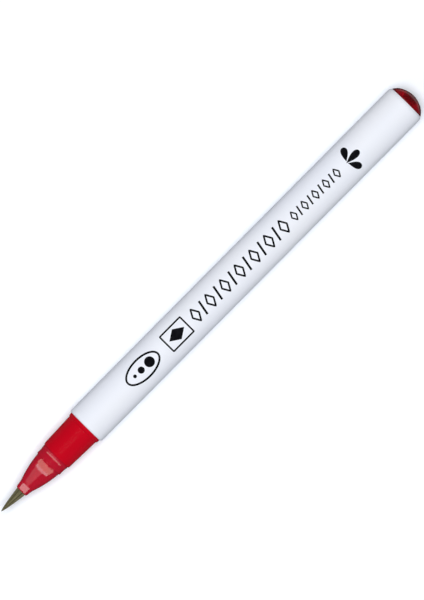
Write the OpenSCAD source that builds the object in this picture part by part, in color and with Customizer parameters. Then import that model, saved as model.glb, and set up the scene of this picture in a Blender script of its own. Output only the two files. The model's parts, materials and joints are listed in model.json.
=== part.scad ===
// Brush pen with its cap off, lying level along X with the brush point towards -X.
// The barrel rests on Z = 0 and the origin is below the middle of the pen's length.
// Every piece is drawn upright along +Z from the brush point, then laid down.

/* [Overall] */
// Length from the brush point to the end of the tail plug
pen_len = 140; // [130:0.5:150]
// Outside diameter of the barrel
barrel_d = 10.4; // [10.2:0.1:11]
// Wall thickness of the barrel
barrel_wall = 0.9; // [0.85:0.05:0.95]

/* [Brush] */
// Length of bristle that stands out of the nose
brush_len = 6.8; // [6:0.1:8]
// Diameter of the bristle bundle at the mouth of the nose
brush_d = 2.38; // [2.3:0.02:2.44]
// How fast the bundle fattens behind its point, lower is fuller
brush_power = 0.68; // [0.6:0.01:0.8]

/* [Nose] */
// Length of the narrow ring at the mouth of the nose
lip_len = 1.9; // [1.6:0.1:2.2]
// Diameter of the nose at its mouth
lip_d = 3.2; // [3.1:0.05:3.4]
// Diameter where the mouth ring meets the curved cone
lip_base_d = 3.84; // [3.7:0.02:4]
// Length of the curved cone
cone_len = 7.3; // [6.8:0.1:8]
// Diameter at the wide end of the curved cone
cone_d = 7.04; // [6.9:0.02:7.2]
// Length of the band behind the cone
band_len = 2.65; // [2.4:0.05:3]
// Diameter of the band behind the cone
band_d = 7.5; // [7.3:0.05:7.6]

/* [Grip collar] */
// Length of the collar between the nose and the barrel
collar_len = 9.9; // [9:0.1:12]
// Diameter of the collar at its front edge
collar_front_d = 8.3; // [8.2:0.05:8.5]
// Diameter of the collar just in front of its cap rim
collar_back_d = 8.86; // [8.6:0.02:9]
// Diameter of the rim that the cap snaps over
rim_d = 9.4; // [9.2:0.05:9.6]
// Length of the rim that the cap snaps over
rim_len = 0.8; // [0.6:0.05:1.2]

/* [Tail] */
// Length of tail plug that shows
plug_len = 2.5; // [2.2:0.1:3]
// Diameter of the tail plug where it meets the barrel
plug_d = 9.46; // [9.3:0.02:9.6]
// Diameter of the domed middle of the tail plug
dome_d = 4.1; // [3:0.1:5]

/* [Ink system] */
// Diameter of the ink reservoir with its film
reservoir_d = 7.72; // [7:0.02:7.72]
// Thickness of the film round the reservoir
film_t = 0.1; // [0.06:0.02:0.16]
// Diameter of the wick that carries ink to the bristles
wick_d = 1.1; // [0.9:0.05:1.1]

/* [Hidden] */
$fn = 96;

// Stations along the pen, measured from the brush point.
mouth = brush_len;
lip_end = mouth + lip_len;
cone_end = lip_end + cone_len;
band_end = cone_end + band_len;
collar_front = band_end + 0.1;
barrel_front = collar_front + collar_len;
rim_start = barrel_front - rim_len;
barrel_end = pen_len - plug_len;

// Radii.
barrel_r = barrel_d / 2;
bore_r = barrel_r - barrel_wall;
brush_r = brush_d / 2;
lip_r = lip_d / 2;
lip_base_r = lip_base_d / 2;
cone_r = cone_d / 2;
band_r = band_d / 2;
collar_front_r = collar_front_d / 2;
collar_back_r = collar_back_d / 2;
rim_r = rim_d / 2;
plug_r = plug_d / 2;
dome_r = dome_d / 2;
wick_r = wick_d / 2;
film_r = reservoir_d / 2;

// Gaps between pieces: a push fit, a loose fit, and a joint between bristle segments.
push_gap = 0.02;
loose_gap = 0.03;
flex_gap = 0.02;

// Outside of the nose: how far the cone bulges, and the flare at the back of the band.
cone_bulge = 0.25;
mouth_chamfer = 0.2;
band_edge = 0.25;
band_flare = 0.16;

// Inside of the nose: the throat grips the bristles, and two steps hold the retainer.
throat_r = brush_r + 0.08;
throat_end = mouth + 3.8;
throat_flare = 0.2;
seat_r = 2.05;
seat_end = cone_end + 0.2;
nose_bore_r = 2.65;
nose_spigot_r = 3.3;
nose_spigot_end = collar_front + 7.25;
bundle_r = brush_r + 0.01;
root_flange_len = 1.2;
retainer_start = throat_end + root_flange_len;
retainer_flange_len = 1;
tube_start = retainer_start + 0.4;
tube_r = wick_r + loose_gap + 0.24;

// Outside of the collar: the rounding of its front edge, and the ramp up to the cap rim.
collar_edge = 0.35;
rim_ramp = 0.25;
rim_edge = 0.03;

// Air channels cut along the outside of the retainer.
vent_count = 3;
vent_w = 0.5;
vent_floor_r = seat_r - 0.4;

// Inside of the collar: a web stops the retainer, and a spigot plugs into the barrel.
web_start = nose_spigot_end + retainer_flange_len + 0.3;
web_len = 1;
collar_bore_r = nose_spigot_r + loose_gap;
spigot_r = bore_r - push_gap;
spigot_wall = 0.78;
spigot_end = barrel_front + 12.4;

// Reservoir, its ribs in the barrel, and the tail plug's spigot.
reservoir_start = spigot_end + 0.2;
plug_spigot_len = 6.5;
plug_bore_r = 3.4;
plug_edge = 0.3;
dome_height = 0.6;
dome_step = 0.05;
dome_wall = 1.15;
fin_len = 3.6;
fin_inside = 3;
fin_w = 0.8;
reservoir_end = barrel_end - plug_spigot_len - fin_len - 0.1;
wick_front = mouth + 1.6;
wick_back = reservoir_start + 6.3;
rib_count = 6;
rib_w = 0.6;
rib_turn = 180 / rib_count;
rib_setback = 2;
rib_tip_r = film_r + loose_gap;

// Edges.
front_chamfer = 0.35;
tail_round = 1.3;
tail_arc = 50;
lead_in = 0.25;

// Hinge stations of the three bristle segments.
belly_hinge = brush_len * 0.65;
tip_hinge = brush_len * 0.325;

// Radius of the bristle bundle at a distance from its point.
function tuft_r(s) = brush_r * pow(s / brush_len, brush_power);

// Outline points of the bundle between two stations, as [radius, station].
function tuft_line(from, to, steps = 8) =
    [for (i = [0:steps]) let (s = from + (to - from) * i / steps) [tuft_r(s), s]];

// Points of an arc of a circle from a to b that bulges outwards by rise.
function bulge(a, b, rise, steps = 12) =
    let (
        chord = norm(b - a),
        radius = (chord * chord / 4 + rise * rise) / (2 * rise),
        half = asin(chord / 2 / radius),
        along = (b - a) / chord,
        out = [along[1], -along[0]],
        centre = (a + b) / 2 + out * (rise - radius)
    )
    [for (i = [0:steps]) let (t = -half + 2 * half * i / steps)
        centre + out * radius * cos(t) + along * radius * sin(t)];

// Lays an upright piece down along X with the barrel resting on Z = 0.
module laid() {
    translate([-pen_len / 2, 0, barrel_r]) rotate([0, 90, 0]) children();
}

// Turns an outline of [radius, station] points round the pen's axis.
module lathe(outline) {
    rotate_extrude() polygon(outline);
}

// A plain rod between two stations.
module rod(r, from, to) {
    translate([0, 0, from]) cylinder(r = r, h = to - from);
}

// A rod whose two ends are chamfered.
module pointed_rod(r, from, to, chamfer) {
    lathe([
        [0, from], [r - chamfer, from], [r, from + chamfer],
        [r, to - chamfer], [r - chamfer, to], [0, to],
    ]);
}

module barrel() {
    color("aliceblue") laid() rotate([0, 0, rib_turn]) {
        difference() {
            lathe(concat(
                [[0, barrel_front], [barrel_r - front_chamfer, barrel_front],
                    [barrel_r, barrel_front + front_chamfer]],
                [for (t = [0:5:tail_arc]) [
                    barrel_r - tail_round * (1 - cos(t)),
                    barrel_end - tail_round * (sin(tail_arc) - sin(t)),
                ]],
                [[0, barrel_end]]
            ));
            rod(bore_r, barrel_front - 1, barrel_end + 1);
            translate([0, 0, barrel_front - lead_in])
                cylinder(r1 = bore_r + 2 * lead_in, r2 = bore_r, h = 2 * lead_in);
        }
        barrel_ribs();
    }
}

// Long ribs that hold the reservoir clear of the barrel's wall, so that air can pass.
module barrel_ribs() {
    difference() {
        for (i = [0:rib_count - 1]) rotate([0, 0, i * 360 / rib_count])
            translate([0, -rib_w / 2, reservoir_start + rib_setback])
                cube([
                    bore_r + barrel_wall / 3, rib_w,
                    reservoir_end - reservoir_start - 2 * rib_setback,
                ]);
        rod(rib_tip_r, reservoir_start, reservoir_end);
    }
}

module tail_plug() {
    color("crimson") laid() {
        difference() {
            lathe(concat(
                [[0, barrel_end - plug_spigot_len],
                    [spigot_r - lead_in, barrel_end - plug_spigot_len],
                    [spigot_r, barrel_end - plug_spigot_len + lead_in],
                    [spigot_r, barrel_end], [plug_r, barrel_end],
                    [plug_r - plug_edge / 5, barrel_end + 0.7 * plug_edge]],
                bulge([plug_r - plug_edge, barrel_end + 1.7 * plug_edge],
                    [dome_r, pen_len - dome_height], dome_step, 6),
                bulge([dome_r - dome_step, pen_len - dome_height + dome_step],
                    [0, pen_len], 0.13, 8)
            ));
            lathe([
                [0, barrel_end - plug_spigot_len - 1], [plug_bore_r, barrel_end - plug_spigot_len - 1],
                [plug_bore_r, barrel_end - plug_edge], [0.8 * dome_r, pen_len - dome_wall - dome_wall / 5],
                [0, pen_len - dome_wall],
            ]);
        }
        plug_fins();
    }
}

// Crossed fins on the tail plug that keep the reservoir pushed forward.
module plug_fins() {
    for (turn = [0, 90]) rotate([0, 0, turn])
        translate([-plug_bore_r - 0.1, -fin_w / 2, reservoir_end + 0.1])
            cube([2 * plug_bore_r + 0.2, fin_w, fin_len + fin_inside]);
}

module reservoir_fibre() {
    color("mistyrose") laid() difference() {
        rod(film_r - film_t - 0.01, reservoir_start, reservoir_end);
        rod(wick_r + 0.01, reservoir_start - 1, wick_back + 0.1);
    }
}

module reservoir_film() {
    color("white") laid() difference() {
        rod(film_r, reservoir_start, reservoir_end);
        rod(film_r - film_t, reservoir_start - 1, reservoir_end + 1);
    }
}

module relay_wick() {
    color("antiquewhite") laid() pointed_rod(wick_r, wick_front, wick_back, 0.25);
}

module wick_tube() {
    color("whitesmoke") laid() difference() {
        rod(tube_r, tube_start, spigot_end);
        rod(wick_r + loose_gap, tube_start - 1, spigot_end + 1);
    }
}

module tuft_retainer() {
    color("ivory") laid() difference() {
        lathe([
            [0, retainer_start], [seat_r - push_gap - lead_in, retainer_start],
            [seat_r - push_gap, retainer_start + lead_in], [seat_r - push_gap, seat_end + push_gap],
            [nose_bore_r - push_gap, seat_end + push_gap], [nose_bore_r - push_gap, nose_spigot_end],
            [nose_spigot_r - push_gap, nose_spigot_end],
            [nose_spigot_r - push_gap, nose_spigot_end + retainer_flange_len],
            [0, nose_spigot_end + retainer_flange_len],
        ]);
        rod(wick_r + loose_gap, retainer_start - 1, tube_start + 1);
        rod(tube_r + push_gap, tube_start, web_start);
        vent_grooves();
    }
}

// Air channels along the outside of the retainer.
module vent_grooves() {
    for (i = [0:vent_count - 1]) rotate([0, 0, (i + 0.5) * 360 / vent_count])
        translate([vent_floor_r, -vent_w / 2, retainer_start - 1])
            cube([nose_spigot_r, vent_w, nose_spigot_end + retainer_flange_len - retainer_start + 2]);
}

module tuft_root() {
    color("darkkhaki") laid() difference() {
        lathe([
            [0, mouth], [bundle_r, mouth], [bundle_r, throat_end],
            [seat_r - push_gap, throat_end], [seat_r - push_gap, retainer_start], [0, retainer_start],
        ]);
        hinge_cup(mouth);
        rod(wick_r + push_gap, wick_front - 0.05, retainer_start + 1);
    }
}

module nose_cone() {
    color("crimson", 0.85) laid() difference() {
        lathe(concat(
            [[0, mouth], [lip_r - mouth_chamfer, mouth], [lip_r, mouth + mouth_chamfer]],
            bulge([lip_base_r, lip_end], [cone_r, cone_end], cone_bulge),
            [[band_r - band_edge / 5, cone_end + band_edge / 2], [band_r, cone_end + band_edge],
                [band_r, cone_end + band_len / 2], [band_r + band_flare, band_end - band_edge],
                [band_r + band_flare / 2, collar_front], [nose_spigot_r, collar_front],
                [nose_spigot_r, nose_spigot_end], [0, nose_spigot_end]]
        ));
        rod(throat_r, mouth - 1, throat_end + 1);
        translate([0, 0, mouth - throat_flare / 2])
            cylinder(r1 = throat_r + throat_flare, r2 = throat_r, h = throat_flare);
        rod(seat_r, throat_end, seat_end + 1);
        rod(nose_bore_r, seat_end, nose_spigot_end + 1);
    }
}

module grip_collar() {
    color("firebrick") laid() difference() {
        lathe([
            [0, collar_front], [collar_front_r - collar_edge / 2, collar_front],
            [collar_front_r - collar_edge / 7, collar_front + collar_edge / 3],
            [collar_front_r, collar_front + collar_edge], [collar_back_r, rim_start - rim_ramp],
            [rim_r - rim_edge, rim_start - rim_edge], [rim_r, rim_start],
            [rim_r, barrel_front], [spigot_r, barrel_front],
            [spigot_r, spigot_end - lead_in], [spigot_r - lead_in, spigot_end], [0, spigot_end],
        ]);
        rod(collar_bore_r, collar_front - 1, web_start);
        rod(2 * tube_r, web_start - 1, web_start + web_len + 1);
        rod(spigot_r - spigot_wall, web_start + web_len, spigot_end + 1);
    }
}

// A bristle segment: the bundle between two stations, with a ball at its back end.
module tuft_segment(front, back) {
    lathe(concat([[0, front]], tuft_line(front, back), [[0, back]]));
    translate([0, 0, back]) sphere(r = tuft_r(back));
}

// The hollow that a segment's ball turns in.
module hinge_cup(station) {
    translate([0, 0, station]) sphere(r = tuft_r(station) + flex_gap);
}

module tuft_lower() {
    color("olive") laid() difference() {
        tuft_segment(belly_hinge, mouth);
        hinge_cup(belly_hinge);
    }
}

module tuft_belly() {
    color("olivedrab") laid() difference() {
        tuft_segment(tip_hinge, belly_hinge);
        hinge_cup(tip_hinge);
    }
}

module tuft_point() {
    color("darkolivegreen") laid() tuft_segment(0, tip_hinge);
}

barrel();
tail_plug();
reservoir_fibre();
reservoir_film();
relay_wick();
wick_tube();
tuft_retainer();
tuft_root();
nose_cone();
grip_collar();
tuft_lower();
tuft_belly();
tuft_point();
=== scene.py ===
import json
import math
import random

import bmesh
import bpy
from mathutils import Matrix, Vector


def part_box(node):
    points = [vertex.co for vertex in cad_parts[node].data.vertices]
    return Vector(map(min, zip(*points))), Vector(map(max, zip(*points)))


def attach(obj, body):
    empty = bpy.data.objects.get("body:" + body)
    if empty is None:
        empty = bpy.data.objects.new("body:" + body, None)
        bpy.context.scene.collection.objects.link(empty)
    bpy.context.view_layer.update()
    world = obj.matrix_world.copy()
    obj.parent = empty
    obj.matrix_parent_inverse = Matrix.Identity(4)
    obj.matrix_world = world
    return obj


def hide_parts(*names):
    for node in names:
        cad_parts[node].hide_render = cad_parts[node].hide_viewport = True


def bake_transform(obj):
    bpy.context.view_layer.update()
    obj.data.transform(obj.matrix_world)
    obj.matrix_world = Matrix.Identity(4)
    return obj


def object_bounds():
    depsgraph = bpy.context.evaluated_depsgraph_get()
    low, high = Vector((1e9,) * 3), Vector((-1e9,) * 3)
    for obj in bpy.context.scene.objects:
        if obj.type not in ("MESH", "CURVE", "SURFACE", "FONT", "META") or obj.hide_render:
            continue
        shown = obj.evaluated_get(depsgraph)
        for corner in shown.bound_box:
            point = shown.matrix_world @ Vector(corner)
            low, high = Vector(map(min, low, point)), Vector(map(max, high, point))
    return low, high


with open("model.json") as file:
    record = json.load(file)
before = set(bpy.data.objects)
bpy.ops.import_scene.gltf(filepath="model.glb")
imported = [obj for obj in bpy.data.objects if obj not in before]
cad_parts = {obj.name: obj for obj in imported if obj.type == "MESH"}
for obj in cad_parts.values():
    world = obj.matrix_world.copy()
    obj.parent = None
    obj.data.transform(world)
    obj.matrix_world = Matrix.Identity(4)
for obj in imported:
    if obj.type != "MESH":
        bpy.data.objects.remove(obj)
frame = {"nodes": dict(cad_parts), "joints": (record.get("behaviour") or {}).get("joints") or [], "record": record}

# Lengths along the pen are "stations": millimetres from the brush point towards the tail.
MM = 0.001
CAD_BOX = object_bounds()
RECORD = frame["record"]
TIP_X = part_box("tuft_point")[0].x
MOUNTS = {m["name"]: m for m in RECORD["mounts"]}
AXIS_Z = MOUNTS["barrel"]["pos_m"][2]
BARREL_R = MOUNTS["barrel"]["dims"]["r_mm"]
RIM_R = MOUNTS["cap_seat"]["dims"]["r_mm"]
RIM_LENGTH = MOUNTS["cap_seat"]["dims"]["length_mm"]
BORE_R = 4.3
SPIGOT_R = 4.28
BLOCK_FACES = [(0, 1, 2, 3), (7, 6, 5, 4)] + [
    (i, i + 4, (i + 1) % 4 + 4, (i + 1) % 4) for i in range(4)]


def front(node):
    """Station where a CAD node starts."""
    return (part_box(node)[0].x - TIP_X) / MM


def back(node):
    """Station where a CAD node ends."""
    return (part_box(node)[1].x - TIP_X) / MM


MOUTH = front("nose_cone")
COLLAR = front("grip_collar")
BARREL = front("barrel")
BARREL_END = back("barrel")
PEN_END = back("tail_plug")


# ---------------------------------------------------------------- meshes

def directions(angle):
    """The outward and the sideways direction at an angle from the top towards +Y."""
    return (Vector((0, math.sin(angle), math.cos(angle))),
            Vector((0, math.cos(angle), -math.sin(angle))))


def place(x, r, angle):
    """Row position of a point at station x, radius r and angle from the top towards +Y."""
    return Vector((TIP_X + x * MM, r * MM * math.sin(angle), AXIS_Z + r * MM * math.cos(angle)))


def rounded(outline, closed=True, steps=5):
    """Outline of (station, radius) or (station, radius, fillet), with its corners rounded. A
    point beside each fillet keeps the shading of the long faces straight."""
    out = []
    count = len(outline)
    for i, point in enumerate(outline):
        p = Vector(point[:2])
        fillet = point[2] if len(point) > 2 else 0
        if fillet <= 0 or (not closed and i in (0, count - 1)):
            out.append(p)
            continue
        a = Vector(outline[i - 1][:2]) - p
        b = Vector(outline[(i + 1) % count][:2]) - p
        half = a.angle(b) / 2
        if half > math.pi / 2 - 0.01:
            out.append(p)
            continue
        cut = min(fillet / math.tan(half), 0.48 * a.length, 0.48 * b.length)
        radius = cut * math.tan(half)
        centre = p + (a.normalized() + b.normalized()).normalized() * radius / math.sin(half)
        v0 = p + a.normalized() * cut - centre
        v1 = p + b.normalized() * cut - centre
        t0 = math.atan2(v0.y, v0.x)
        turn = (math.atan2(v1.y, v1.x) - t0 + math.pi) % (2 * math.pi) - math.pi
        hold = 1.5 * cut
        if hold < 0.45 * a.length:
            out.append(p + a.normalized() * hold)
        for k in range(steps + 1):
            t = t0 + turn * k / steps
            out.append(centre + Vector((math.cos(t), math.sin(t))) * radius)
        if hold < 0.45 * b.length:
            out.append(p + b.normalized() * hold)
    return out


def bulge(a, b, rise, steps=24):
    """Points of the arc from a to b, as (station, radius), that swells outwards by rise."""
    a, b = Vector(a), Vector(b)
    chord = (b - a).length
    radius = (chord * chord / 4 + rise * rise) / (2 * rise)
    half = math.asin(chord / 2 / radius)
    along = (b - a) / chord
    out = Vector((-along.y, along.x))
    centre = (a + b) / 2 + out * (rise - radius)
    points = []
    for i in range(steps + 1):
        t = -half + 2 * half * i / steps
        points.append(centre + out * radius * math.cos(t) + along * radius * math.sin(t))
    return [(p.x, p.y) for p in points]


def lathe(outline, closed=True, segments=128):
    """Vertices and faces of an outline turned round the pen's axis."""
    verts, rings, faces = [], [], []
    for x, r in outline:
        if r < 1e-6:
            rings.append([len(verts)])
            verts.append(place(x, 0, 0))
        else:
            rings.append([len(verts) + k for k in range(segments)])
            verts.extend(place(x, r, 2 * math.pi * k / segments) for k in range(segments))
    pairs = list(zip(rings, rings[1:])) + ([(rings[-1], rings[0])] if closed else [])
    for a, b in pairs:
        for k in range(segments):
            k2 = (k + 1) % segments
            if len(a) == 1 and len(b) == 1:
                break
            if len(a) == 1:
                faces.append((a[0], b[k2], b[k]))
            elif len(b) == 1:
                faces.append((a[k], a[k2], b[0]))
            else:
                faces.append((a[k], a[k2], b[k2], b[k]))
    return verts, faces


def slab(x0, x1, r0, r1, width, angle):
    """Vertices and faces of a flat bar along the axis, from radius r0 to r1, as a rib or fin."""
    out, side = directions(angle)
    verts = []
    for x in (x0, x1):
        for r, w in ((r0, -1), (r1, -1), (r1, 1), (r0, 1)):
            base = Vector((TIP_X + x * MM, 0, AXIS_Z))
            verts.append(base + out * r * MM + side * w * width / 2 * MM)
    return verts, BLOCK_FACES


def make(name, parts, look, smooth_deg=40):
    """One mesh object from several (vertices, faces) parts, with its material and slot."""
    verts, faces = [], []
    for v, f in parts:
        base = len(verts)
        verts.extend(v)
        faces.extend(tuple(base + k for k in face) for face in f)
    mesh = bpy.data.meshes.new(name)
    mesh.from_pydata(verts, [], faces)
    mesh.validate()
    obj = bpy.data.objects.new(name, mesh)
    bpy.context.scene.collection.objects.link(obj)
    mesh.materials.append(look)
    face_outwards(mesh)
    mesh.shade_smooth()
    mesh.set_sharp_from_angle(angle=math.radians(smooth_deg))
    return obj


def face_outwards(mesh):
    """Turn all faces of a closed mesh outwards."""
    bm = bmesh.new()
    bm.from_mesh(mesh)
    bmesh.ops.recalc_face_normals(bm, faces=bm.faces)
    bm.to_mesh(mesh)
    bm.free()


# ------------------------------------------------------------- materials

def material(name, color, roughness, **sockets):
    """A material with its tree and shader; sockets are constants on the shader, _ for space."""
    m = bpy.data.materials.new(name)
    m.use_nodes = True
    shader = m.node_tree.nodes["Principled BSDF"]
    shader.inputs["Base Color"].default_value = (*color, 1)
    shader.inputs["Roughness"].default_value = roughness
    for key, value in sockets.items():
        shader.inputs[key.replace("_", " ")].default_value = value
    return m, m.node_tree, shader


def noise(tree, scale, stretch=(1, 1, 1), detail=3.0):
    """Noise in the row frame, scale in features per metre."""
    where = tree.nodes.new("ShaderNodeTexCoord")
    mapping = tree.nodes.new("ShaderNodeMapping")
    mapping.inputs["Scale"].default_value = stretch
    texture = tree.nodes.new("ShaderNodeTexNoise")
    texture.inputs["Scale"].default_value = scale
    texture.inputs["Detail"].default_value = detail
    tree.links.new(where.outputs["Object"], mapping.inputs["Vector"])
    tree.links.new(mapping.outputs["Vector"], texture.inputs["Vector"])
    return texture.outputs["Fac"]


def spread(tree, value, low, high):
    """A 0 to 1 value stretched to low to high, from the middle half of its range."""
    node = tree.nodes.new("ShaderNodeMapRange")
    node.inputs["From Min"].default_value = 0.3
    node.inputs["From Max"].default_value = 0.7
    node.inputs["To Min"].default_value = low
    node.inputs["To Max"].default_value = high
    tree.links.new(value, node.inputs["Value"])
    return node.outputs["Result"]


def tint(tree, shader, value, a, b):
    """Base colour that runs from a to b with a value."""
    node = tree.nodes.new("ShaderNodeMix")
    node.data_type = "RGBA"
    node.inputs["A"].default_value = (*a, 1)
    node.inputs["B"].default_value = (*b, 1)
    tree.links.new(spread(tree, value, 0, 1), node.inputs["Factor"])
    tree.links.new(node.outputs["Result"], shader.inputs["Base Color"])


def relief(tree, shader, value, strength, distance):
    """Fine surface grain, distance in metres."""
    node = tree.nodes.new("ShaderNodeBump")
    node.inputs["Strength"].default_value = strength
    node.inputs["Distance"].default_value = distance
    tree.links.new(value, node.inputs["Height"])
    tree.links.new(node.outputs["Normal"], shader.inputs["Normal"])


def plastic(name, a, b, rough, grain=2600, patch=90, strength=0.12, **sockets):
    """Moulded plastic: a slow drift between two colours, uneven gloss and a fine grain."""
    m, tree, shader = material(name, a, rough[0], **sockets)
    tint(tree, shader, noise(tree, patch, (0.35, 1, 1)), a, b)
    gloss = spread(tree, noise(tree, patch * 7, (0.2, 1, 1)), *rough)
    tree.links.new(gloss, shader.inputs["Roughness"])
    relief(tree, shader, noise(tree, grain, (0.5, 1, 1)), strength, 0.00001)
    return m


BARREL_WHITE = plastic("barrel_white", (0.775, 0.805, 0.885), (0.80, 0.82, 0.875), (0.3, 0.4))
COLLAR_RED = plastic("collar_red", (0.475, 0.002, 0.011), (0.51, 0.003, 0.014), (0.12, 0.18),
                     Specular_IOR_Level=0.15)
NOSE_RED = plastic("nose_red", (0.57, 0.010, 0.031), (0.62, 0.012, 0.037), (0.02, 0.04),
                   strength=0.03, Transmission_Weight=0.3, IOR=1.5)
PLUG_RED = plastic("plug_red", (0.29, 0.001, 0.006), (0.35, 0.002, 0.009), (0.08, 0.14),
                   strength=0.03, Transmission_Weight=0.7, IOR=1.5)
NATURAL = plastic("inner_natural", (0.78, 0.72, 0.60), (0.84, 0.79, 0.69), (0.4, 0.55))
FILM = plastic("film_clear", (0.86, 0.87, 0.88), (0.9, 0.9, 0.9), (0.1, 0.2),
               Transmission_Weight=0.6)


def fibre(name, a, b):
    """Bonded fibres that run along the pen: fine streaks in colour and height."""
    m, tree, shader = material(name, a, 0.8)
    streaks = noise(tree, 5200, (0.03, 1, 1), detail=4.0)
    tint(tree, shader, streaks, a, b)
    relief(tree, shader, streaks, 0.5, 0.00005)
    return m


RESERVOIR = fibre("reservoir_fibre", (0.52, 0.05, 0.07), (0.74, 0.16, 0.18))
WICK = fibre("wick_fibre", (0.56, 0.08, 0.10), (0.72, 0.2, 0.2))
ROOT = fibre("root_fused", (0.20, 0.17, 0.09), (0.30, 0.26, 0.15))


def bristle_material():
    """Nylon filaments, each with its own tone between dark and light olive."""
    m, tree, shader = material("bristle", (0.13, 0.125, 0.08), 0.42)
    tone = tree.nodes.new("ShaderNodeAttribute")
    tone.attribute_name = "tone"
    tint(tree, shader, tone.outputs["Fac"], (0.075, 0.07, 0.035), (0.24, 0.22, 0.12))
    relief(tree, shader, noise(tree, 9000, (0.1, 1, 1)), 0.2, 0.00001)
    return m


BRISTLE = bristle_material()


def ink_material():
    """Matt black ink with a slight mottle."""
    m, tree, shader = material("print_black", (0.004, 0.004, 0.005), 0.6, Specular_IOR_Level=0.15)
    tint(tree, shader, noise(tree, 1500), (0.002, 0.002, 0.003), (0.007, 0.007, 0.009))
    relief(tree, shader, noise(tree, 5000), 0.2, 0.000005)
    return m


INK = ink_material()


# -------------------------------------------------------------- mouldings

def sink_gate(obj, station, floor, angle, slope):
    """Cut the small flat recess where the moulding was filled, and stand its gate's stub in it."""
    half_length, half_width, deep, stub_r = 1.85, 0.6, 0.8, 0.17
    axis = Vector((1, 0, 0))
    out, side = directions(angle)
    along = axis * math.cos(slope) + out * math.sin(slope)
    out = out * math.cos(slope) - axis * math.sin(slope)
    centre = place(station, floor, angle)
    verts = []
    for a in (-half_length, half_length):
        for b, c in ((-half_width, 0), (-half_width, deep), (half_width, deep), (half_width, 0)):
            verts.append(centre + (along * a + side * b + out * c) * MM)
    tool = bpy.data.meshes.new("tool")
    tool.from_pydata(verts, [], BLOCK_FACES)
    face_outwards(tool)
    cutter = bpy.data.objects.new("tool", tool)
    bpy.context.scene.collection.objects.link(cutter)
    cut = obj.modifiers.new("cut", "BOOLEAN")
    cut.object = cutter
    cut.solver = "EXACT"
    shape = obj.evaluated_get(bpy.context.evaluated_depsgraph_get())
    mesh = bpy.data.meshes.new_from_object(shape)
    obj.modifiers.clear()
    obj.data = mesh
    bpy.data.objects.remove(cutter)
    bpy.data.meshes.remove(tool)
    stub = bmesh.new()
    stub.from_mesh(mesh)
    bmesh.ops.create_uvsphere(stub, u_segments=24, v_segments=12, radius=stub_r * MM,
                              matrix=Matrix.Translation(centre))
    for face in stub.faces[len(mesh.polygons):]:
        face.smooth = True
    stub.to_mesh(mesh)
    stub.free()
    mesh.set_sharp_from_angle(angle=math.radians(30))


def make_nose():
    """Mouth ring, curved cone and band, with the bores that hold the brush and its retainer."""
    lip_end = MOUTH + 1.9
    cone_end = lip_end + 7.3
    end = back("nose_cone")
    lip_r, cone_r, band_r, flare_r = 1.9, 3.52, 3.75, 3.91
    throat_r, seat_r, retainer_r, spigot_r = 1.27, 2.05, 2.65, 3.3
    throat_end, seat_end = MOUTH + 3.8, cone_end + 0.2
    flare_start, flare_end = cone_end + 1.3, cone_end + 2.4
    cone = bulge((lip_end, lip_r), (cone_end, cone_r), 0.25)
    flare = bulge((flare_start, band_r), (flare_end, flare_r), -0.04, 10)
    outline = [
        (MOUTH, 1.37, 0.01), (MOUTH, 1.44, 0.02), (MOUTH + 0.2, 1.64, 0.08),
        (lip_end, lip_r, 0.06), *cone[1:-1],
        (cone_end, cone_r, 0.02), (cone_end + 0.04, 3.71), (cone_end + 0.12, band_r, 0.03),
        (flare_start, band_r), *flare[1:-1], (flare_end, flare_r, 0.08), (COLLAR, 3.83, 0.03),
        (COLLAR, spigot_r, 0.02), (end, spigot_r, 0.1), (end, retainer_r, 0.03),
        (seat_end, retainer_r, 0.03), (seat_end, seat_r, 0.03),
        (throat_end, seat_r, 0.03), (throat_end, throat_r, 0.03), (MOUTH + 0.1, throat_r, 0.02),
    ]
    obj = make("nose_shell", [lathe(rounded(outline), segments=144)], NOSE_RED)
    cone_slope = math.atan(0.242)
    sink_gate(obj, MOUTH + 4.9, 2.67, math.radians(-25), cone_slope)
    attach(obj, "pen")
    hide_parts("nose_cone")


def make_collar():
    """Slightly tapered collar with the rim that a cap snaps over, and its spigot."""
    rim = BARREL - RIM_LENGTH
    end = back("grip_collar")
    socket_r, rear_r, wick_hole_r = 3.33, 3.5, 1.64
    wall_start, wall_end = rim - 0.55, rim + 0.45
    outline = [
        (COLLAR, socket_r, 0.02), (COLLAR, 4.06, 0.03), (COLLAR + 0.45, 4.14, 0.1),
        (rim - 0.3, 4.42, 0.2), (rim - 0.02, RIM_R - 0.07, 0.03), (rim + 0.4, RIM_R, 0.1),
        (BARREL, RIM_R, 0.08), (BARREL, SPIGOT_R, 0.02),
        (end - 0.25, SPIGOT_R, 0.05), (end, 4.03, 0.05), (end, rear_r, 0.05),
        (wall_end, rear_r, 0.05), (wall_end, wick_hole_r, 0.05),
        (wall_start, wick_hole_r, 0.05), (wall_start, socket_r, 0.05),
    ]
    obj = make("collar_shell", [lathe(rounded(outline), segments=160)], COLLAR_RED)
    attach(obj, "pen")
    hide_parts("grip_collar")


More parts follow.
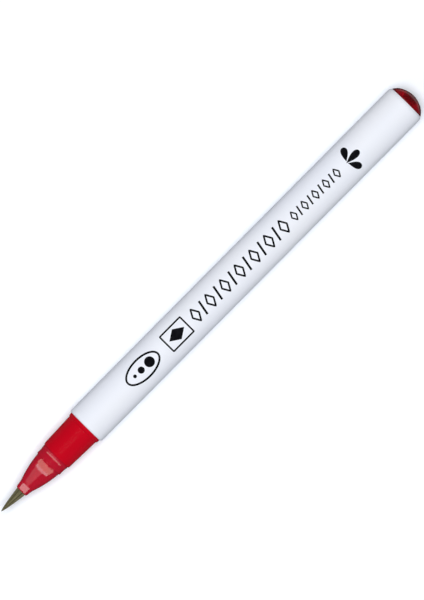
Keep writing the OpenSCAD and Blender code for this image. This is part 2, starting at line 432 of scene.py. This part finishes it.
def make_barrel():
    """Long tube with a thin front chamfer, a rounded tail edge and six ribs inside."""
    edge_r, edge_deg = 1.3, 50
    tail = []
    for t in range(0, edge_deg + 1, 5):
        a, full = math.radians(t), math.radians(edge_deg)
        tail.append((BARREL_END - edge_r * (math.sin(full) - math.sin(a)),
                     BARREL_R - edge_r * (1 - math.cos(a))))
    outline = [
        (BARREL, 4.55, 0.02), (BARREL, BARREL_R - 0.3, 0.12), (BARREL + 0.3, BARREL_R, 0.35),
        *tail[:-1], (*tail[-1], 0.05), (BARREL_END, BORE_R, 0.05), (BARREL + 0.25, BORE_R, 0.05),
    ]
    parts = [lathe(rounded(outline), segments=192)]
    rib_start, rib_end = front("reservoir_fibre") + 2, back("reservoir_fibre") - 2
    for k in range(6):
        angle = math.radians(60 * k + 30)
        parts.append(slab(rib_start, rib_end, 3.89, 4.6, 0.6, angle))
    obj = make("barrel_shell", parts, BARREL_WHITE)
    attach(obj, "pen")
    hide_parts("barrel")


def make_plug():
    """Hollow plug with a bevelled edge and a low dome, and crossed fins inside."""
    shoulder = bulge((BARREL_END + 0.51, 4.43), (PEN_END - 0.5, 2.35), 0.2, 16)
    dome = bulge((PEN_END - 0.46, 2.25), (PEN_END, 0), 0.12, 12)
    start = BARREL_END - 6.5
    hollow_r = 3.4
    outline = [
        (PEN_END - 1.15, 0), (PEN_END - 1.38, 1.64, 0.2), (BARREL_END - 0.3, hollow_r, 0.2),
        (start, hollow_r, 0.05), (start, 4.03, 0.05), (start + 0.25, SPIGOT_R, 0.05),
        (BARREL_END, SPIGOT_R, 0.02), (BARREL_END, 4.73, 0.03), (BARREL_END + 0.21, 4.67, 0.08),
        (*shoulder[0], 0.15), *shoulder[1:-1], (*shoulder[-1], 0.08),
        (*dome[0], 0.06), *dome[1:-1], (PEN_END, 0),
    ]
    parts = [lathe(rounded(outline, closed=False), closed=False, segments=144)]
    for angle in (0, math.pi / 2):
        parts.append(slab(front("tail_plug"), start + 3, -3.5, 3.5, 0.8, angle))
    obj = make("plug_shell", parts, PLUG_RED)
    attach(obj, "pen")
    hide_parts("tail_plug")


# ----------------------------------------------------------------- brush

# The brush: its radius at the mouth, how fast it thins, and the stations that part its stretches.
TUFT_R = 1.26
TUFT_POWER = 0.69
SPLITS = (5.6, 3.3)
TAPER_END = 4.5
CORE_SHARE, CORE_TONE = 0.74, 0.3
HINGES = {j["name"]: (j["pos_m"][0] - TIP_X) / MM for j in frame["joints"]}


def tuft_radius(s):
    """Radius of the whole brush at a station."""
    return TUFT_R * min(1, max(s, 0) / MOUTH) ** TUFT_POWER


def filaments(rng):
    """Filaments of the brush: its radius share, angle, end station, width and tone."""
    made = []
    for count, share, reach in ((78, 0.955, 1.0), (64, 0.87, 0.8), (44, 0.76, 0.5)):
        for k in range(count):
            made.append({
                "share": share + rng.uniform(-0.03, 0.03),
                "angle": 2 * math.pi * (k + rng.uniform(-0.35, 0.35)) / count,
                "end": reach * rng.random() ** 2.2 * 1.9,
                "width": rng.uniform(0.05, 0.066),
                "sway": rng.uniform(-0.12, 0.12),
                "tone": rng.random(),
            })
    return made


def strand(f, lo, hi, steps, sides=6):
    """The stretch of one filament between two stations, as a thin tapering tube."""
    lo = max(lo, f["end"])
    if hi - lo < 0.02:
        return None
    verts, faces = [], []
    for i in range(steps + 1):
        s = lo + (hi - lo) * i / steps
        taper = min(1, (s - f["end"]) / (TAPER_END - f["end"])) if s < TAPER_END else 1
        thick = f["width"] * max(taper, 0.0) ** 0.55 + 0.004
        r = max(0, f["share"] * tuft_radius(s) - 0.3 * thick)
        angle = f["angle"] + f["sway"] * math.sin(2.2 * (MOUTH - s) / MOUTH)
        middle = place(s, r, angle)
        out, side = directions(angle)
        for k in range(sides):
            t = 2 * math.pi * k / sides
            verts.append(middle + (out * math.cos(t) + side * math.sin(t)) * thick * MM)
    for i in range(steps):
        for k in range(sides):
            k2 = (k + 1) % sides
            faces.append((i * sides + k, i * sides + k2, (i + 1) * sides + k2, (i + 1) * sides + k))
    faces.append(tuple(range(sides)))
    faces.append(tuple(steps * sides + k for k in reversed(range(sides))))
    return verts, faces


def make_brush():
    """The brush in three stretches, parted at the stations in SPLITS."""
    made = filaments(random.Random(11))
    stretches = (
        ("bristles_lower", SPLITS[0], MOUTH + 2, "pen", "tuft_lower", MOUTH + 1.2, SPLITS[0], 9),
        ("bristles_belly", SPLITS[1], SPLITS[0], "tuft_lower", "tuft_belly",
         2 * HINGES["tuft_belly_bend"] - SPLITS[1], SPLITS[1], 9),
        ("bristles_point", 0.0, SPLITS[1], "tuft_belly", "tuft_point",
         SPLITS[1], 2 * HINGES["tuft_point_bend"] - SPLITS[1], 16),
    )
    for name, lo, hi, a, b, start, end, steps in stretches:
        parts, tones = [], []
        for f in made:
            part = strand(f, lo, hi, steps)
            if part:
                parts.append(part)
                tones.extend([f["tone"]] * len(part[0]))
        core = []
        for i in range(13):
            s = lo + (hi - lo) * i / 12
            core.append((s, CORE_SHARE * tuft_radius(s)))
        core = [(lo, 0)] * (lo > 0) + core + [(hi, 0)]
        part = lathe(core, closed=False, segments=32)
        parts.append(part)
        tones.extend([CORE_TONE] * len(part[0]))
        obj = make(name, parts, BRISTLE, smooth_deg=70)
        tone = obj.data.attributes.new("tone", "FLOAT", "POINT")
        tone.data.foreach_set("value", tones)
        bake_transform(obj)
        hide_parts(b)


# ----------------------------------------------------------------- print

# The ink's film, a little sunk into the barrel so that no gap shows.
INK_TOP = BARREL_R + 0.012
INK_BOTTOM = BARREL_R - 0.03


def shell(grid, caps):
    """A thin solid from top faces over a list of flat points (station, offset across)."""
    verts, faces = [], []
    for r in (INK_TOP, INK_BOTTOM):
        for x, y in grid:
            verts.append(place(x, r, math.asin(y / BARREL_R)))
    n = len(grid)
    edges = {}
    for face in caps:
        faces.append(face)
        faces.append(tuple(n + k for k in reversed(face)))
        for a, b in zip(face, face[1:] + face[:1]):
            edges[(a, b)] = (b, a) not in edges
            if (b, a) in edges:
                edges[(b, a)] = edges[(a, b)] = False
    for (a, b), rim in edges.items():
        if rim:
            faces.append((b, a, n + a, n + b))
    return verts, faces


def ribbon(points, width, closed=False):
    """A stroke of ink along a path; width is a number or a list of one width a point."""
    n = len(points)
    grid = []
    for i, (x, y) in enumerate(points):
        before = points[i - 1] if i or closed else points[i]
        after = points[(i + 1) % n] if i < n - 1 or closed else points[i]
        d = Vector((after[0] - before[0], after[1] - before[1])).normalized()
        w = (width[i] if isinstance(width, list) else width) / 2
        grid.append((x - d.y * w, y + d.x * w))
        grid.append((x + d.y * w, y - d.x * w))
    caps = []
    for i in range(n if closed else n - 1):
        j = (i + 1) % n
        caps.append((2 * i, 2 * i + 1, 2 * j + 1, 2 * j))
    return shell(grid, caps)


def filled(outline, centre, rings=6):
    """A filled patch of ink inside a star-shaped outline."""
    n = len(outline)
    grid = [centre]
    for k in range(1, rings + 1):
        for x, y in outline:
            grid.append((centre[0] + (x - centre[0]) * k / rings,
                         centre[1] + (y - centre[1]) * k / rings))
    caps = [(0, 1 + i, 1 + (i + 1) % n) for i in range(n)]
    for k in range(rings - 1):
        a, b = 1 + k * n, 1 + (k + 1) * n
        caps += [(a + i, b + i, b + (i + 1) % n, a + (i + 1) % n) for i in range(n)]
    return shell(grid, caps)


def line(a, b, step=0.2):
    """Points from a to b."""
    n = max(2, int(math.dist(a, b) / step) + 1)
    return [(a[0] + (b[0] - a[0]) * i / n, a[1] + (b[1] - a[1]) * i / n) for i in range(n + 1)]


def loop(corners):
    """Points round a closed polygon."""
    out = []
    for a, b in zip(corners, corners[1:] + corners[:1]):
        out += line(a, b)[:-1]
    return out


def ellipse(cx, rx, ry, count=72):
    """Points round an ellipse on the pen's top line."""
    return [(cx + rx * math.cos(2 * math.pi * k / count), ry * math.sin(2 * math.pi * k / count))
            for k in range(count)]


def box_loop(cx, half_x, half_y, corner):
    """Points round a rectangle with rounded corners."""
    out = []
    for q, (sx, sy) in enumerate(((1, 1), (-1, 1), (-1, -1), (1, -1))):
        for k in range(7):
            t = math.radians(90 * q + 15 * k)
            out.append((cx + sx * (half_x - corner) + corner * math.cos(t),
                        sy * (half_y - corner) + corner * math.sin(t)))
    return loop(out)


def drop(cx, cy, length, radius, turn, count=48):
    """Points round a leaf with its point towards the brush, turned about its middle."""
    out = []
    for k in range(count):
        t = 2 * math.pi * k / count
        x = -length / 2 * math.cos(t)
        y = radius * math.sin(t) * math.sin(t / 2) ** 1.4 * 1.15
        out.append((cx + x * math.cos(turn) - y * math.sin(turn),
                    cy + x * math.sin(turn) + y * math.cos(turn)))
    return out


def diamond(x, half, height):
    """Corners of a diamond on the pen's top line."""
    return [(x - half, 0), (x, height), (x + half, 0), (x, -height)]


def figures(start, pitch, count, half, height, stroke):
    """A row of open diamonds with a slanted bar between each two."""
    parts = []
    for k in range(count):
        x = start + pitch * k
        if k % 2:
            parts.append(ribbon(line((x - half / 3, -height), (x + half / 3, height)), stroke))
        else:
            parts.append(ribbon(loop(diamond(x, half, height)), stroke * 0.85, closed=True))
    return parts


def make_print():
    """Generic marks where the pen carries its print; none of them is a letter."""
    oval = [ribbon(ellipse(48.15, 5.05, 2.5), 0.48, closed=True)]
    for x, r in ((45.5, 0.45), (47.6, 0.85), (50.4, 1.3)):
        oval.append(filled(ellipse(x, r, r, 40), (x, 0)))
    box_x = 59.65
    square = [
        ribbon(box_loop(box_x, 3.4, 2.4, 0.12), 0.4, closed=True),
        filled(loop(diamond(box_x, 2.5, 1.65)), (box_x, 0)),
    ]
    row = figures(66.1, 2.48, 13, 1.05, 1.85, 0.52)
    small = figures(99.4, 1.8, 9, 0.72, 1.25, 0.42)
    sprig = []
    sprig_x, reach = 117.2, 2.0
    for lean, length in ((-58, 3.5), (0, 4.4), (58, 3.5)):
        a = math.radians(lean)
        middle = (sprig_x + reach * math.cos(a), reach * math.sin(a))
        sprig.append(filled(drop(*middle, length, 1.05, a), middle))
    for name, parts in (("print_oval", oval), ("print_square", square), ("print_row", row),
                        ("print_small_row", small), ("print_sprig", sprig)):
        obj = make(name, parts, INK, smooth_deg=30)
        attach(obj, "pen")


# ------------------------------------------------------------------ scene

def dress_inner_parts():
    """Materials for the CAD nodes that are shown as they are."""
    looks = {
        "reservoir_fibre": RESERVOIR, "reservoir_film": FILM, "relay_wick": WICK,
        "wick_tube": NATURAL, "tuft_retainer": NATURAL, "tuft_root": ROOT,
    }
    for node, look in looks.items():
        obj = frame["nodes"][node]
        obj.data.materials.clear()
        obj.data.materials.append(look)


def make_floor():
    """A small pale sheet just under the pen. It glows faintly, a painted light that lifts the pen's shadow on it.
    """
    half, drop_below = 0.25, 0.00002
    mesh = bpy.data.meshes.new("floor")
    mesh.from_pydata([(-half, -half, 0), (half, -half, 0), (half, half, 0), (-half, half, 0)],
                     [], [(0, 1, 2, 3)])
    obj = bpy.data.objects.new("floor", mesh)
    bpy.context.scene.collection.objects.link(obj)
    obj.location.z = CAD_BOX[0].z - drop_below
    m, tree, shader = material("floor_white", (0.9, 0.9, 0.9), 0.9, Specular_IOR_Level=0.1)
    tint(tree, shader, noise(tree, 3), (0.84, 0.87, 0.925), (0.86, 0.89, 0.935))
    # Painted light: the sheet's faint glow lightens the pen's shadow on it and adds light to the pen's sides.
    shader.inputs["Emission Color"].default_value = (0.9, 0.95, 1, 1)
    shader.inputs["Emission Strength"].default_value = 0.12
    mesh.materials.append(m)
    obj.visible_glossy = False


def panel(name, where, across, down, width, length, radiance, receivers=None, gloss=True,
          diffuse=True, color=(1, 1, 1)):
    """A rectangular area light of a given radiance that faces down, with its width along
    across. receivers are the only objects it lights; gloss and diffuse say how it is seen."""
    data = bpy.data.lights.new(name, "AREA")
    data.shape = "RECTANGLE"
    data.size, data.size_y = width, length
    data.energy = radiance * math.pi * width * length
    data.color = color
    obj = bpy.data.objects.new(name, data)
    z = -Vector(down).normalized()
    x = Vector(across).normalized()
    y = z.cross(x)
    obj.matrix_world = Matrix.Translation(where) @ Matrix((x, y, z)).transposed().to_4x4()
    obj.visible_camera = False
    obj.visible_glossy = gloss
    obj.visible_diffuse = diffuse
    if receivers:
        obj.light_linking.receiver_collection = receivers
    bpy.context.scene.collection.objects.link(obj)


def arch(name, near, far, lean, radiance, receivers, color=(1, 1, 1)):
    """Panels in an arch over the nose, for its gloss only. near and far say how far towards the
    point they stand, and lean is the range of angles from the top towards +Y, in degrees."""
    reach, panel_deg = 0.45, 12
    middle = Vector((TIP_X + 13.5 * MM, 0, AXIS_Z))
    count = round((lean[1] - lean[0]) / panel_deg)
    step = math.radians((lean[1] - lean[0]) / count)
    for k in range(count):
        a = math.radians(lean[0]) + step * (k + 0.5)
        out, side = directions(a)
        x0, x1 = (-reach * math.tan(math.asin(c * math.cos(a / 2))) for c in (near, far))
        where = middle + out * reach + Vector(((x0 + x1) / 2, 0, 0))
        panel(f"{name}_{k}", where, -side, -out, 2 * reach * math.tan(step / 2), abs(x1 - x0),
              radiance, receivers, diffuse=False, color=color)


def make_lights():
    """Soft studio light, and panels that give only the nose and only the plug their gloss. The
    nose's brightness can jump if the arches change even slightly, so look at it after a change."""
    shiny = bpy.data.collections.new("shiny")
    for name in ("nose_shell", "tuft_retainer", "tuft_root"):
        shiny.objects.link(bpy.data.objects[name])
    size = 0.8
    panel("top", (0, 0, 1.2), (1, 0, 0), (0, 0, -1), size, size, 7.6, gloss=False)
    for name, side, radiance in (("key", -1, 1.7), ("fill", 1, 0.8)):
        where = Vector((side * 1.0, 0, 1.1))
        panel(name, where, (0, 1, 0), -where, size, size, radiance, gloss=side > 0)
    arch("arch", 0.213, 0.32, (-78, 78), 3.4, shiny, (1, 0.9, 0.72))
    arch("lip", 0.32, 0.37, (-70, 70), 4.6, shiny)
    arch("glow", 0.37, 0.66, (-20, 66), 0.9, shiny)
    tail = bpy.data.collections.new("tail")
    tail.objects.link(bpy.data.objects["plug_shell"])
    card = Vector((TIP_X + (PEN_END + 6) * MM, 0, CAD_BOX[0].z + 0.0005))
    panel("card", card, (1, 0, 0), (0, 0, 1), 0.006, 0.02, 0.24, tail, diffuse=False)


def make_world():
    """Dim pale surroundings that look white to the camera."""
    world = bpy.data.worlds.new("world")
    bpy.context.scene.world = world
    world.use_nodes = True
    tree = world.node_tree
    tree.nodes.clear()
    ray = tree.nodes.new("ShaderNodeLightPath")
    dim = tree.nodes.new("ShaderNodeBackground")
    dim.inputs["Color"].default_value = (0.95, 0.97, 1.0, 1)
    dim.inputs["Strength"].default_value = 0.05
    seen = tree.nodes.new("ShaderNodeBackground")
    seen.inputs["Color"].default_value = (1, 1, 1, 1)
    mix = tree.nodes.new("ShaderNodeMixShader")
    out = tree.nodes.new("ShaderNodeOutputWorld")
    tree.links.new(ray.outputs["Is Camera Ray"], mix.inputs["Fac"])
    tree.links.new(dim.outputs["Background"], mix.inputs[1])
    tree.links.new(seen.outputs["Background"], mix.inputs[2])
    tree.links.new(mix.outputs["Shader"], out.inputs["Surface"])


def make_camera():
    """Straight above the pen with a long lens, rolled so that the pen points up to the right."""
    data = bpy.data.cameras.new("camera")
    data.lens = 600
    data.sensor_width = 36
    data.clip_start, data.clip_end = 0.01, 50
    obj = bpy.data.objects.new("camera", data)
    bpy.context.scene.collection.objects.link(obj)
    roll, view_height = math.radians(-45.25), 0.1434
    turned = Matrix.Rotation(roll, 4, "Z")
    centre = (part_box("tuft_point")[0].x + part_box("tail_plug")[1].x) / 2
    distance = data.lens / data.sensor_width * view_height
    aside = turned @ Vector((0.00111, 0.00081, 0))
    obj.matrix_world = Matrix.Translation(
        Vector((centre, 0, AXIS_Z + distance)) + aside) @ turned
    bpy.context.scene.camera = obj


make_nose()
make_collar()
make_barrel()
make_plug()
make_brush()
make_print()
dress_inner_parts()
make_floor()
make_lights()
make_world()
make_camera()
bpy.context.scene.view_settings.view_transform = "Standard"
bpy.context.scene.view_settings.look = "None"
